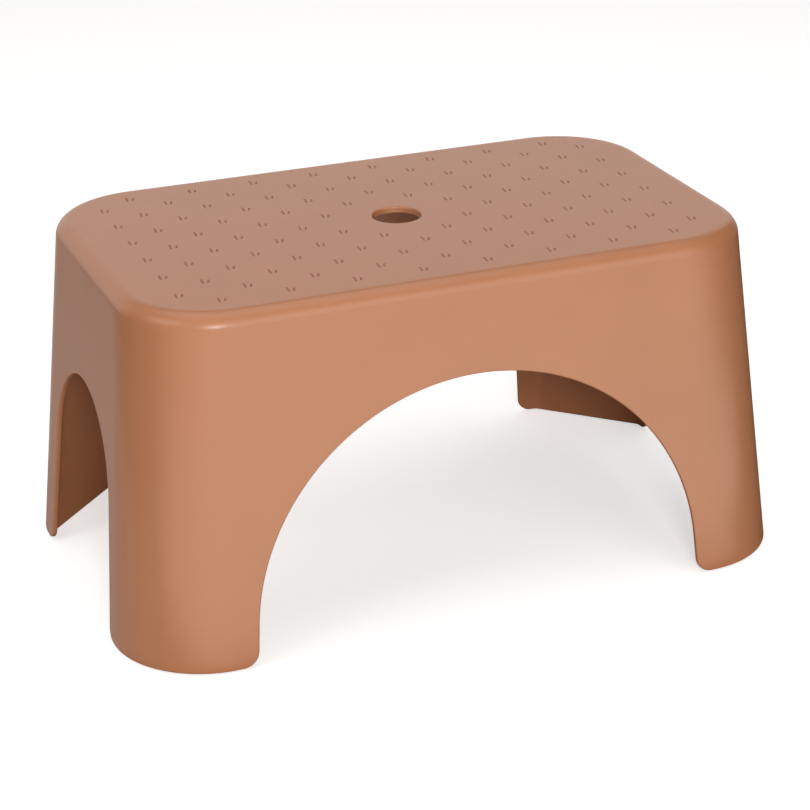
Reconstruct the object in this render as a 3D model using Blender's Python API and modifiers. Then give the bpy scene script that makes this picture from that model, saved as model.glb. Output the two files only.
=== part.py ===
# A bath stool moulded in one piece, with four anti-slip pads pressed up into its hollow legs.
# Metres. X runs along the stool, Y to its rear, Z up. The origin is on the floor, under the
# middle of the seat.

import math

import bmesh
import bpy
from mathutils import Matrix, Vector

# Outer form, measured where the straight faces would meet
SEAT_LENGTH = 0.3650
SEAT_WIDTH = 0.2215
FOOT_LENGTH = 0.3998
FOOT_WIDTH = 0.2577
SHELL_HEIGHT = 0.1979
SEAT_CORNER_RADIUS = 0.0537
FOOT_CORNER_RADIUS = 0.0550
TOP_EDGE_RADIUS = 0.0085

# Walls, and the flat web that closes each leg on its inner side. A leg's depth runs from the web
# straight out to the round corner, at the floor.
WALL = 0.0030
SEAT_THICKNESS = 0.0037
WEB_THICKNESS = 0.0028
LEG_DEPTH = 0.0177

# Arches, which start this far before the webs. Their sides flare towards the floor.
LONG_ARCH_BEFORE_WEB = 0.0118
LONG_ARCH_RISE = 0.1297
LONG_ARCH_CENTRE_HEIGHT = 0.0137
LONG_ARCH_FLARE = 0.0015
END_ARCH_BEFORE_WEB = 0.0099
END_ARCH_RISE = 0.0554
END_ARCH_CENTRE_HEIGHT = 0.0720
END_ARCH_FLARE = 0.0082

# Rounding of each leg's lower corners, under the long walls' arches and the end walls' arches
LONG_LEG_CORNER_RADIUS = 0.0092
END_LEG_CORNER_RADIUS = 0.0075

# Hand hole in the middle of the seat
HAND_HOLE_RADIUS = 0.0141
HAND_HOLE_LIP = 0.0009

# Anti-slip marks in staggered columns: each is a longer groove with a shorter one beside it
MARK_PITCH_LONG = 0.01893
MARK_PITCH_WIDE = 0.01477
MARK_BORDER = 0.0120
MARK_HOLE_MARGIN = 0.0100
LONGER_GROOVE_LENGTH = 0.0060
SHORTER_GROOVE_LENGTH = 0.0050
GROOVE_WIDTH = 0.0013
GROOVE_DEPTH = 0.0007
GROOVE_SPACING = 0.0034
GROOVE_STAGGER = 0.0010
LONGER_GROOVE_SLANT = math.radians(-10)
SHORTER_GROOVE_SLANT = math.radians(-17)

# Stiffening ribs under the seat
RIB_THICKNESS = 0.0018
RIB_DEPTH = 0.0070
CROSS_RIB_SPACING = 0.0560
CROSS_RIBS = 4
LONG_RIB_SPACING = 0.0760
LONG_RIBS = 2

# Leg pockets and the pads in them
POCKET_HEIGHT = 0.0800
PAD_HEIGHT = 0.0120
PAD_PROUD = 0.0008
PAD_CLEARANCE = 0.0003
PAD_EDGE_BEVEL = 0.0006
STOP_THICKNESS = 0.0016
STOP_SPACING = 0.0260
STOPS_PER_LEG = 2

# Cuts reach this far past what they cut, and points this near each other are one
OVERRUN = 0.0100
WELD_DISTANCE = 0.00002

# Facets
CORNER_STEPS = 9
EDGE_STEPS = 5
ARCH_STEPS_PER_SIDE = 18
LEG_CORNER_STEPS = 5
HOLE_STEPS = 40
LIP_STEPS = 4

# Sizes that follow from the ones above
SEAT_HEIGHT = PAD_PROUD + SHELL_HEIGHT
END_DRAFT = (FOOT_LENGTH - SEAT_LENGTH) / 2 / SHELL_HEIGHT
LONG_DRAFT = (FOOT_WIDTH - SEAT_WIDTH) / 2 / SHELL_HEIGHT
MEAN_DRAFT_ANGLE = math.atan((END_DRAFT + LONG_DRAFT) / 2)
CORNER_GROWTH = (FOOT_CORNER_RADIUS - SEAT_CORNER_RADIUS) / SHELL_HEIGHT
CORNER_CENTRE_REACH = (FOOT_LENGTH / 2 + FOOT_WIDTH / 2 - 2 * FOOT_CORNER_RADIUS) / math.sqrt(2)
WEB_FACE = CORNER_CENTRE_REACH + FOOT_CORNER_RADIUS - LEG_DEPTH
WEB_BACK = WEB_FACE + WEB_THICKNESS
WEB_END_ON_LONG_WALL = WEB_FACE * math.sqrt(2) - (FOOT_WIDTH / 2 - WALL)
WEB_END_ON_END_WALL = WEB_FACE * math.sqrt(2) - (FOOT_LENGTH / 2 - WALL)
LONG_ARCH_FOOT_HALF = WEB_END_ON_LONG_WALL - LONG_ARCH_BEFORE_WEB
END_ARCH_FOOT_HALF = WEB_END_ON_END_WALL - END_ARCH_BEFORE_WEB

# Colours as linear RGB
TERRACOTTA = (0.52, 0.26, 0.15, 1.0)
PAD_BROWN = (0.10, 0.055, 0.035, 1.0)
SHELL_ROUGHNESS = 0.48
PAD_ROUGHNESS = 0.75


def new_collection(name):
    """An empty collection in the scene."""
    collection = bpy.data.collections.new(name)
    bpy.context.scene.collection.children.link(collection)
    return collection


def new_material(name, colour, roughness):
    """A plain plastic or rubber material."""
    material = bpy.data.materials.new(name)
    material.use_nodes = True
    shader = material.node_tree.nodes["Principled BSDF"]
    shader.inputs["Base Color"].default_value = colour
    shader.inputs["Roughness"].default_value = roughness
    shader.inputs["Metallic"].default_value = 0.0
    material.diffuse_color = colour
    return material


def add_object(name, mesh, collection):
    """An object at the world origin that holds the mesh."""
    obj = bpy.data.objects.new(name, mesh)
    collection.objects.link(obj)
    return obj


def add_cutter(name, mesh, cutters):
    """An object that only cuts others, so it is left out of renders."""
    obj = add_object(name, mesh, cutters)
    obj.hide_render = True
    obj.display_type = "WIRE"
    return obj


def mesh_from(bm, name):
    """Turns a bmesh into a mesh with its faces pointing out, and frees it."""
    bmesh.ops.recalc_face_normals(bm, faces=bm.faces)
    mesh = bpy.data.meshes.new(name)
    bm.to_mesh(mesh)
    bm.free()
    return mesh


def shade_round(obj, material):
    """Gives a finished piece its material and smooth shading between its sharp edges."""
    obj.data.materials.append(material)
    obj.data.shade_smooth()
    obj.data.set_sharp_from_angle(angle=math.radians(35))


def rounded_rectangle(half_length, half_width, radius):
    """Points round a rectangle with round corners, anticlockwise from the +X side."""
    points = []
    for corner in range(4):
        centre_x = (half_length - radius) * (1 if corner in (0, 3) else -1)
        centre_y = (half_width - radius) * (1 if corner in (0, 1) else -1)
        for step in range(CORNER_STEPS + 1):
            angle = (corner + step / CORNER_STEPS) * math.pi / 2
            x = centre_x + radius * math.cos(angle)
            y = centre_y + radius * math.sin(angle)
            points.append((x, y))
    return points


def wall_section(depth, inset):
    """Half length, half width and corner radius of the walls, this far below the seat's plane."""
    half_length = SEAT_LENGTH / 2 + END_DRAFT * depth - inset
    half_width = SEAT_WIDTH / 2 + LONG_DRAFT * depth - inset
    return half_length, half_width, SEAT_CORNER_RADIUS + CORNER_GROWTH * depth - inset


def block_levels(inset, edge_radius, top_depth, bottom_depth):
    """Sections of a block that follows the walls, from its bottom up and over its top edge."""
    levels = [(bottom_depth, *wall_section(bottom_depth, inset))]
    if edge_radius == 0:
        levels.append((top_depth, *wall_section(top_depth, inset)))
        return levels
    for step in range(EDGE_STEPS + 1):
        angle = MEAN_DRAFT_ANGLE + (math.pi / 2 - MEAN_DRAFT_ANGLE) * step / EDGE_STEPS
        depth = top_depth + edge_radius * (1 - math.sin(angle))
        pulled_in = edge_radius * (math.cos(MEAN_DRAFT_ANGLE) - math.cos(angle))
        levels.append((depth, *wall_section(depth, inset + pulled_in)))
    return levels


def drafted_block(name, inset, edge_radius, top_depth, bottom_depth):
    """A solid with the stool's plan and draft, lofted through its sections."""
    bm = bmesh.new()
    loops = []
    for depth, half_length, half_width, radius in block_levels(inset, edge_radius, top_depth, bottom_depth):
        outline = rounded_rectangle(half_length, half_width, radius)
        verts = [bm.verts.new((x, y, SEAT_HEIGHT - depth)) for x, y in outline]
        edges = [bm.edges.new((a, b)) for a, b in zip(verts, verts[1:] + verts[:1])]
        loops.append((verts, edges))
    for (_, lower), (_, upper) in zip(loops, loops[1:]):
        bmesh.ops.bridge_loops(bm, edges=lower + upper)
    bm.faces.new(loops[0][0])
    bm.faces.new(loops[-1][0])
    return mesh_from(bm, name)


def add_box(bm, size, placed):
    """Adds a box of this size, centred where the matrix puts it."""
    bmesh.ops.create_cube(bm, size=1, matrix=placed @ Matrix.Diagonal((*size, 1)))


def quarter_turn(quarter):
    """Turns +X towards one of the stool's corners: rear right, rear left, front left, front right."""
    return Matrix.Rotation(math.radians(45 + 90 * quarter), 4, "Z")


def corner_boxes(name, distance, quarters, cutters):
    """Tall boxes that hold what lies beyond the upright planes across these corners."""
    bm = bmesh.new()
    depth = FOOT_LENGTH / 2
    for quarter in quarters:
        shift = Matrix.Translation((distance + depth / 2, 0, 0))
        add_box(bm, (depth, FOOT_LENGTH, FOOT_LENGTH + SEAT_HEIGHT), quarter_turn(quarter) @ shift)
    return add_cutter(name, mesh_from(bm, name), cutters)


def prism(name, outline, half_depth, placed):
    """A flat outline drawn as a curve, given its thickness, put in place and made a mesh."""
    curve = bpy.data.curves.new(name, "CURVE")
    curve.dimensions = "2D"
    curve.fill_mode = "BOTH"
    curve.extrude = half_depth
    spline = curve.splines.new("POLY")
    spline.points.add(len(outline) - 1)
    for point, (u, v) in zip(spline.points, outline):
        point.co = (u, v, 0, 1)
    spline.use_cyclic_u = True
    drawn = bpy.data.objects.new(name, curve)
    bpy.context.scene.collection.objects.link(drawn)
    bpy.context.view_layer.update()
    evaluated = drawn.evaluated_get(bpy.context.evaluated_depsgraph_get())
    loose = bpy.data.meshes.new_from_object(evaluated)
    bpy.data.objects.remove(drawn)
    bm = bmesh.new()
    bm.from_mesh(loose)
    bpy.data.meshes.remove(loose)
    bmesh.ops.remove_doubles(bm, verts=bm.verts, dist=WELD_DISTANCE)
    bmesh.ops.transform(bm, matrix=placed, verts=bm.verts)
    return mesh_from(bm, name)


def arch_outline(foot_half, flare, rise, centre_height, corner_radius):
    """An arch's opening, drawn upright from the floor: half an ellipse on flared sides with round feet."""
    half = foot_half - flare
    foot_angle = math.atan2(-centre_height / rise, foot_half / half)
    start = foot_angle + math.acos(half / math.hypot(foot_half, half * centre_height / rise))
    top = Vector((half * math.cos(start), centre_height + rise * math.sin(start)))
    side = (top - Vector((foot_half, 0))).normalized()
    out_x, out_z = side.y, -side.x
    corner_x = foot_half + corner_radius * (1 - out_z) / out_x
    lean = math.atan2(-out_z, -out_x) % math.tau
    points = [(corner_x, -OVERRUN)]
    for step in range(LEG_CORNER_STEPS + 1):
        angle = math.radians(270) + (lean - math.radians(270)) * step / LEG_CORNER_STEPS
        x = corner_x + corner_radius * math.cos(angle)
        points.append((x, corner_radius + corner_radius * math.sin(angle)))
    for step in range(ARCH_STEPS_PER_SIDE):
        angle = start + (math.pi / 2 - start) * step / ARCH_STEPS_PER_SIDE
        points.append((half * math.cos(angle), centre_height + rise * math.sin(angle)))
    other = [(-x, z) for x, z in reversed(points)]
    return points + [(0, centre_height + rise)] + other


def arch_cutter(name, outline, half_depth, turned, cutters):
    """A prism that opens two facing walls with one arch."""
    upright = Matrix.Rotation(turned, 4, "Z") @ Matrix.Rotation(math.pi / 2, 4, "X")
    placed = Matrix.Translation((0, 0, PAD_PROUD)) @ upright
    return add_cutter(name, prism(name, outline, half_depth, placed), cutters)


def hand_hole_cutter(cutters):
    """A turned plug for the hand hole, flared by the rounded lip at the seat's plane."""
    flare = HAND_HOLE_RADIUS + HAND_HOLE_LIP
    profile = [(0, SEAT_HEIGHT + OVERRUN), (flare, SEAT_HEIGHT + OVERRUN)]
    for step in range(LIP_STEPS + 1):
        angle = math.pi / 2 * step / LIP_STEPS
        x = flare - HAND_HOLE_LIP * math.sin(angle)
        z = SEAT_HEIGHT - HAND_HOLE_LIP * (1 - math.cos(angle))
        profile.append((x, z))
    below = SEAT_HEIGHT - SEAT_THICKNESS - OVERRUN
    profile += [(HAND_HOLE_RADIUS, below), (0, below)]
    mesh = bpy.data.meshes.new("hand_hole_cutter")
    edges = [(i, i + 1) for i in range(len(profile) - 1)]
    mesh.from_pydata([(x, 0, z) for x, z in profile], edges, [])
    cutter = add_cutter("hand_hole_cutter", mesh, cutters)
    screw = cutter.modifiers.new("turn", "SCREW")
    screw.steps = HOLE_STEPS
    screw.render_steps = HOLE_STEPS
    screw.use_merge_vertices = True
    screw.merge_threshold = WELD_DISTANCE
    return cutter


def on_marked_field(x, y):
    """Whether a mark fits here: inside the seat's flat by the border, and clear of the hand hole."""
    edge = TOP_EDGE_RADIUS * (math.cos(MEAN_DRAFT_ANGLE) + math.tan(MEAN_DRAFT_ANGLE))
    half_length, half_width, radius = wall_section(0, edge + MARK_BORDER)
    if abs(x) > half_length or abs(y) > half_width:
        return False
    past_x = max(0, abs(x) - (half_length - radius))
    past_y = max(0, abs(y) - (half_width - radius))
    keep_out = HAND_HOLE_RADIUS + HAND_HOLE_LIP + MARK_HOLE_MARGIN
    return math.hypot(past_x, past_y) <= radius and math.hypot(x, y) > keep_out


def mark_places():
    """Centres of the anti-slip marks, in staggered columns across the seat."""
    columns = math.ceil(SEAT_LENGTH / MARK_PITCH_LONG)
    rows = math.ceil(SEAT_WIDTH / MARK_PITCH_WIDE)
    places = []
    for column in range(-columns, columns + 1):
        for row in range(-rows, rows + 1):
            x, y = column * MARK_PITCH_LONG, row * MARK_PITCH_WIDE
            if (column + row) % 2 == 1 and on_marked_field(x, y):
                places.append((x, y))
    return places


def groove_cutter(cutters):
    """All the grooves of the anti-slip marks, as one cutter."""
    bm = bmesh.new()
    longer = (-1, LONGER_GROOVE_LENGTH, LONGER_GROOVE_SLANT)
    shorter = (1, SHORTER_GROOVE_LENGTH, SHORTER_GROOVE_SLANT)
    for x, y in mark_places():
        for side, length, slant in (longer, shorter):
            shift = (x + side * GROOVE_SPACING / 2, y - side * GROOVE_STAGGER / 2, SEAT_HEIGHT)
            placed = Matrix.Translation(shift) @ Matrix.Rotation(slant, 4, "Z")
            add_box(bm, (GROOVE_WIDTH, length, 2 * GROOVE_DEPTH), placed)
    return add_cutter("groove_cutter", mesh_from(bm, "groove_cutter"), cutters)


def spread(count, spacing):
    """Places of evenly spaced pieces, centred on 0."""
    return [(piece - (count - 1) / 2) * spacing for piece in range(count)]


def rib_plates(cutters):
    """Plates where the ribs stand, to be left out of the hollow under the seat."""
    height = RIB_DEPTH + OVERRUN
    z = SEAT_HEIGHT - SEAT_THICKNESS - RIB_DEPTH + height / 2
    cross = bmesh.new()
    for x in spread(CROSS_RIBS, CROSS_RIB_SPACING):
        add_box(cross, (RIB_THICKNESS, FOOT_WIDTH, height), Matrix.Translation((x, 0, z)))
    lengthwise = bmesh.new()
    for y in spread(LONG_RIBS, LONG_RIB_SPACING):
        add_box(lengthwise, (FOOT_LENGTH, RIB_THICKNESS, height), Matrix.Translation((0, y, z)))
    names = ("cross_rib_plates", "long_rib_plates")
    return [add_cutter(name, mesh_from(bm, name), cutters) for name, bm in zip(names, (cross, lengthwise))]


def stop_plates(cutters):
    """Plates where the pads' stops stand across the leg pockets, to be left out of them."""
    bm = bmesh.new()
    low = PAD_HEIGHT + PAD_CLEARANCE
    height = POCKET_HEIGHT + OVERRUN - low
    for quarter in range(4):
        for y in spread(STOPS_PER_LEG, STOP_SPACING):
            shift = Matrix.Translation((WEB_BACK, y, low + height / 2))
            add_box(bm, (FOOT_WIDTH / 2, STOP_THICKNESS, height), quarter_turn(quarter) @ shift)
    return add_cutter("stop_plates", mesh_from(bm, "stop_plates"), cutters)


def boolean(obj, operation, other):
    """Joins, cuts or trims an object by another, exactly."""
    modifier = obj.modifiers.new(operation.lower() + "_" + other.name, "BOOLEAN")
    modifier.operation = operation
    modifier.solver = "EXACT"
    modifier.object = other


def seat_hollow(cutters):
    """The space under the seat: inside the walls and the webs, round the ribs."""
    edge = TOP_EDGE_RADIUS - WALL
    mesh = drafted_block("seat_hollow", WALL, edge, SEAT_THICKNESS, SHELL_HEIGHT + OVERRUN)
    hollow = add_cutter("seat_hollow", mesh, cutters)
    boolean(hollow, "DIFFERENCE", corner_boxes("beyond_webs", WEB_FACE, range(4), cutters))
    for plates in rib_plates(cutters):
        boolean(hollow, "DIFFERENCE", plates)
    return hollow


def leg_pockets(cutters):
    """The four hollows between the webs and the corners, open downward."""
    mesh = drafted_block("leg_pockets", WALL, 0, SEAT_HEIGHT - POCKET_HEIGHT, SHELL_HEIGHT + OVERRUN)
    pockets = add_cutter("leg_pockets", mesh, cutters)
    boolean(pockets, "INTERSECT", corner_boxes("behind_webs", WEB_BACK, range(4), cutters))
    boolean(pockets, "DIFFERENCE", stop_plates(cutters))
    return pockets


def moulded_shell(stool, cutters, material):
    """Seat, walls, webs and ribs in one moulding."""
    mesh = drafted_block("moulded_shell", 0, TOP_EDGE_RADIUS, 0, SHELL_HEIGHT)
    shell = add_object("moulded_shell", mesh, stool)
    shade_round(shell, material)
    boolean(shell, "DIFFERENCE", seat_hollow(cutters))
    boolean(shell, "DIFFERENCE", leg_pockets(cutters))
    long_sizes = (LONG_ARCH_FOOT_HALF, LONG_ARCH_FLARE, LONG_ARCH_RISE, LONG_ARCH_CENTRE_HEIGHT)
    end_sizes = (END_ARCH_FOOT_HALF, END_ARCH_FLARE, END_ARCH_RISE, END_ARCH_CENTRE_HEIGHT)
    long_arch = arch_outline(*long_sizes, LONG_LEG_CORNER_RADIUS)
    end_arch = arch_outline(*end_sizes, END_LEG_CORNER_RADIUS)
    boolean(shell, "DIFFERENCE", arch_cutter("long_arches", long_arch, FOOT_WIDTH, 0, cutters))
    boolean(shell, "DIFFERENCE", arch_cutter("end_arches", end_arch, FOOT_LENGTH, math.pi / 2, cutters))
    boolean(shell, "DIFFERENCE", hand_hole_cutter(cutters))
    boolean(shell, "DIFFERENCE", groove_cutter(cutters))


def foot_pad(name, quarter, stool, cutters, material):
    """A plug of soft rubber that fills the mouth of one leg's pocket and stands proud of it."""
    mesh = drafted_block(name, WALL + PAD_CLEARANCE, 0, SEAT_HEIGHT - PAD_HEIGHT, SEAT_HEIGHT)
    pad = add_object(name, mesh, stool)
    shade_round(pad, material)
    boolean(pad, "INTERSECT", corner_boxes(name + "_corner", WEB_BACK + PAD_CLEARANCE, [quarter], cutters))
    bevel = pad.modifiers.new("soft_edges", "BEVEL")
    bevel.width = PAD_EDGE_BEVEL
    bevel.segments = 1
    bevel.limit_method = "ANGLE"
    bevel.angle_limit = math.radians(60)


def main():
    """Builds the stool in an empty scene."""
    for obj in list(bpy.data.objects):
        bpy.data.objects.remove(obj)
    stool = new_collection("bath_stool")
    cutters = new_collection("cutters")
    plastic = new_material("terracotta_polypropylene", TERRACOTTA, SHELL_ROUGHNESS)
    rubber = new_material("brown_soft_rubber", PAD_BROWN, PAD_ROUGHNESS)
    moulded_shell(stool, cutters, plastic)
    for quarter, corner in enumerate(("rear_right", "rear_left", "front_left", "front_right")):
        foot_pad("foot_pad_" + corner, quarter, stool, cutters, rubber)


main()
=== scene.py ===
"""Dresses a bath stool that is moulded in one piece and stands on four soft rubber pads.

The moulding is modelled as one closed skin of rings. Each ring runs once round the stool, and the
skin starts at the hand hole, goes under the seat, down the inner walls and webs, round the rims
of the arches and legs, up the outer walls and over the seat's edge. Metres, +Z up, and the origin
on the floor under the middle of the seat.
"""

import logging
import math
from dataclasses import dataclass, field
from enum import Enum
from functools import cache

import bmesh
import bpy
from bmesh.types import BMEdge, BMesh, BMFace, BMVert
from bpy.types import ID, Material, Node, NodeSocket, NodeTree, Object, World
from mathutils import Matrix, Vector


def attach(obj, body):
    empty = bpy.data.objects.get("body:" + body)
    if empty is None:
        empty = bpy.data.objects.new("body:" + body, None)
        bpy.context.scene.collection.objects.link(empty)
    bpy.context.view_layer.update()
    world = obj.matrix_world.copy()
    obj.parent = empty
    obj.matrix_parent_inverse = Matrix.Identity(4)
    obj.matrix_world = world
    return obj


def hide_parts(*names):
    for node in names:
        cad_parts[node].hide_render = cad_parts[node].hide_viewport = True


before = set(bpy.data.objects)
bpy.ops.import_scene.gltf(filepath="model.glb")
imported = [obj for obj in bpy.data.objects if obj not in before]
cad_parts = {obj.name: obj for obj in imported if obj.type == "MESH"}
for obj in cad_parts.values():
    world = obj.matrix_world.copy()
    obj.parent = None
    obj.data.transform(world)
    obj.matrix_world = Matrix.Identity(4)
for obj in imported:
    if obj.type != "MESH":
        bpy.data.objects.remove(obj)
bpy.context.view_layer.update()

MM = 0.001
QUARTER = math.pi / 2
WHITE = (1, 1, 1, 1)
# Points nearer than this are one point
MERGE = 0.002 * MM
LOG = logging.getLogger("bath_stool")

Loop = list[BMVert]
# Points of a line, each with the direction that points into the plastic there
Outline = list[tuple[Vector, Vector]]


class Side(Enum):
    """The two skins of a wall."""

    OUTER = "outer"
    INNER = "inner"


class Zone(Enum):
    """What a column of the skin runs down: one of the flat walls, or a round corner."""

    END_WALL = "end wall"
    CORNER = "corner"
    LONG_WALL = "long wall"


class Leg(Enum):
    """The four legs, anticlockwise, with the signs of X and Y at their corners."""

    REAR_RIGHT = (1, 1)
    REAR_LEFT = (-1, 1)
    FRONT_LEFT = (-1, -1)
    FRONT_RIGHT = (1, -1)

    @property
    def pad_node(self) -> str:
        """Name of the pad under this leg in the CAD model."""
        return "foot_pad_" + self.name.lower()

    def mirrored(self, points: list[Vector]) -> list[Vector]:
        """Points of the quarter with positive X and Y, moved to this leg's quarter."""
        return [Vector((p.x * self.value[0], p.y * self.value[1], p.z)) for p in points]


def linear(code: str) -> tuple[float, float, float, float]:
    """Turns an sRGB hex colour to the linear values that a shader takes.

    Args:
        code: six hex digits after a #.

    Returns:
        Linear red, green and blue, and an alpha of 1.
    """
    channels = [int(code[i : i + 2], 16) / 255 for i in (1, 3, 5)]
    r, g, b = [c / 12.92 if c <= 0.04045 else ((c + 0.055) / 1.055) ** 2.4 for c in channels]
    return r, g, b, 1.0


def empty_tree(owner: Material | World) -> NodeTree:
    """Turns on the nodes of a material or world and clears them.

    Args:
        owner: the material or world.

    Returns:
        Its node tree.
    """
    owner.use_nodes = True
    owner.node_tree.nodes.clear()
    return owner.node_tree


def add_node(tree: NodeTree, kind: str, settings: dict | None = None, links: dict | None = None) -> Node:
    """Adds one node to a material or world.

    Args:
        tree: the node tree that it goes in.
        kind: the node's type name, without the ShaderNode that it starts with.
        settings: values of its properties, or of its inputs, by name or number.
        links: for each input, by name or number, the output socket that feeds it.

    Returns:
        The new node.
    """
    node = tree.nodes.new("ShaderNode" + kind)
    for key, value in (settings or {}).items():
        if isinstance(key, str) and hasattr(node, key):
            setattr(node, key, value)
        else:
            node.inputs[key].default_value = value
    for key, socket in (links or {}).items():
        tree.links.new(socket, node.inputs[key])
    return node


def sweep(steps: int, start: float = 0.0, end: float = QUARTER) -> list[float]:
    """Angles at even steps, both ends with them."""
    return [start + (end - start) * step / steps for step in range(steps + 1)]


def heading(angle: float) -> Vector:
    """The direction in a plane at an angle from its first axis."""
    return Vector((math.cos(angle), math.sin(angle)))


def round_edge(radius: float, steps: int) -> list[tuple[float, float]]:
    """A quarter round: its distances from two faces at a right angle, from (radius, 0) to (0, radius)."""
    return [(radius * (1 - math.sin(a)), radius * (1 - math.cos(a))) for a in sweep(steps)]


def loop_edges(bm: BMesh, loop: Loop) -> list[BMEdge]:
    """The edges of a closed loop of vertices."""
    return [bm.edges.get((a, b)) for a, b in zip(loop, loop[1:] + loop[:1])]


def loft(bm: BMesh, outlines: list[list[Vector]]) -> list[Loop]:
    """Joins closed outlines with the same number of points into a tube.

    Each outline after the first is extruded from the one before it and put in place.

    Args:
        bm: the mesh that the tube goes in.
        outlines: the outlines, in order.

    Returns:
        The vertices of each outline.
    """
    first = [bm.verts.new(p) for p in outlines[0]]
    for a, b in zip(first, first[1:] + first[:1]):
        bm.edges.new((a, b))
    loops = [first]
    for points in outlines[1:]:
        made = bmesh.ops.extrude_edge_only(bm, edges=loop_edges(bm, loops[-1]))
        fresh = {v for v in made["geom"] if isinstance(v, BMVert)}
        loop = [next(e.other_vert(v) for e in v.link_edges if e.other_vert(v) in fresh) for v in loops[-1]]
        for vert, point in zip(loop, points):
            vert.co = point
        loops.append(loop)
    return loops


def slot_face(bm: BMesh, width: float, length: float, place: Matrix) -> BMFace:
    """Adds a flat face that looks up, in the shape of a slot with round ends.

    Args:
        bm: the mesh.
        width: across the slot.
        length: over its ends, along the local Y.
        place: the matrix that puts it where it goes.

    Returns:
        The face.
    """
    segments = 12
    # Half a step of turn leaves no vertex on the line where the two ends part
    turn = Matrix.Rotation(math.pi / segments, 4, "Z")
    made = bmesh.ops.create_circle(bm, segments=segments, radius=width / 2, cap_ends=True, matrix=turn)
    verts = made["verts"]
    for vert in verts:
        vert.co.y += math.copysign((length - width) / 2, vert.co.y)
    bmesh.ops.transform(bm, matrix=place, verts=verts)
    face = verts[0].link_faces[0]
    face.normal_update()
    if face.normal.z < 0:
        face.normal_flip()
    return face


def sink(bm: BMesh, faces: list[BMFace], steps: list[tuple[float, float]], finish: int = 0) -> None:
    """Sinks faces into a surface step by step.

    Args:
        bm: the mesh.
        faces: the faces.
        steps: how far each step goes in from the edge, and how far along the face's normal.
        finish: number of the material on all that lies inside the first step.
    """
    for inset, depth in steps:
        bmesh.ops.inset_individual(bm, faces=faces, thickness=inset, depth=depth, use_even_offset=True)
        for face in faces:
            face.material_index = finish


def add_object(name: str, data: ID) -> Object:
    """Adds an object to the scene.

    Args:
        name: its name.
        data: its mesh, light or camera.

    Returns:
        The object.
    """
    made = bpy.data.objects.new(name, data)
    bpy.context.scene.collection.objects.link(made)
    return made


def as_object(bm: BMesh, name: str, materials: list[Material], crease: float | None = None) -> Object:
    """Turns a finished bmesh into an object in the scene.

    Args:
        bm: the bmesh, which is freed.
        name: name of the object and of its mesh.
        materials: its materials, by the numbers that its faces hold.
        crease: the angle, in degrees, past which an edge stays sharp, or None for flat shading.

    Returns:
        The object.
    """
    for face in bm.faces:
        face.smooth = crease is not None
    mesh = bpy.data.meshes.new(name)
    bm.to_mesh(mesh)
    bm.free()
    if crease is not None:
        mesh.set_sharp_from_angle(angle=math.radians(crease))
    for material in materials:
        mesh.materials.append(material)
    return add_object(name, mesh)


@dataclass(frozen=True)
class MouldedPolypropylene:
    """Polypropylene coloured in the melt, injection moulded in a tool with a fine eroded grain.

    The grain breaks the gloss to a satin, so light rolls softly round the corners, and the colour
    hardly changes over the surface, because it goes through the whole wall.
    """

    name: str = "moulded_polypropylene_terracotta"
    colour: str = "#B77953"
    colour_deep: str = "#B1744F"
    roughness: float = 0.33
    # How far the grain moves the roughness up and down
    gloss_spread: float = 0.03
    ior: float = 1.49
    # Erosion grain on such a tool is about 0.1 mm across. It is drawn at 0.5 mm, so it shows.
    grain_mm: float = 0.5
    grain_depth_mm: float = 0.010
    # Broad waves where the wall shrank unevenly as it cooled
    wave_mm: float = 60.0
    wave_depth_mm: float = 0.05
    # Cloudy change of tone where the melt's pigment mixed
    cloud_mm: float = 45.0

    def material(self) -> Material:
        """Builds the material.

        Returns:
            The material.
        """
        material = bpy.data.materials.new(self.name)
        tree = empty_tree(material)
        place = add_node(tree, "TexCoord").outputs["Object"]
        noises = []
        for size, detail, roughness in (
            (self.cloud_mm, 3.0, 0.5),
            (self.grain_mm, 2.0, 0.6),
            (self.wave_mm, 0.0, 0.5),
        ):
            settings = {"Scale": 1 / (size * MM), "Detail": detail, "Roughness": roughness}
            noises.append(add_node(tree, "TexNoise", settings, {"Vector": place}).outputs["Fac"])
        cloud, grain, wave = noises
        tone = add_node(
            tree,
            "Mix",
            {"data_type": "RGBA", 6: linear(self.colour), 7: linear(self.colour_deep)},
            {0: cloud},
        )
        # Nearly all of the noise lies between 0.3 and 0.7
        gloss = add_node(
            tree,
            "MapRange",
            {
                "From Min": 0.3,
                "From Max": 0.7,
                "To Min": self.roughness - self.gloss_spread,
                "To Max": self.roughness + self.gloss_spread,
            },
            {"Value": grain},
        )
        waves = add_node(tree, "Bump", {"Distance": self.wave_depth_mm * MM}, {"Height": wave})
        bump = add_node(
            tree,
            "Bump",
            {"Distance": self.grain_depth_mm * MM},
            {"Height": grain, "Normal": waves.outputs["Normal"]},
        )
        shader = add_node(
            tree,
            "BsdfPrincipled",
            {"IOR": self.ior, "Metallic": 0.0},
            {
                "Base Color": tone.outputs[2],
                "Roughness": gloss.outputs["Result"],
                "Normal": bump.outputs["Normal"],
            },
        )
        add_node(tree, "OutputMaterial", links={"Surface": shader.outputs["BSDF"]})
        return material


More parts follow.
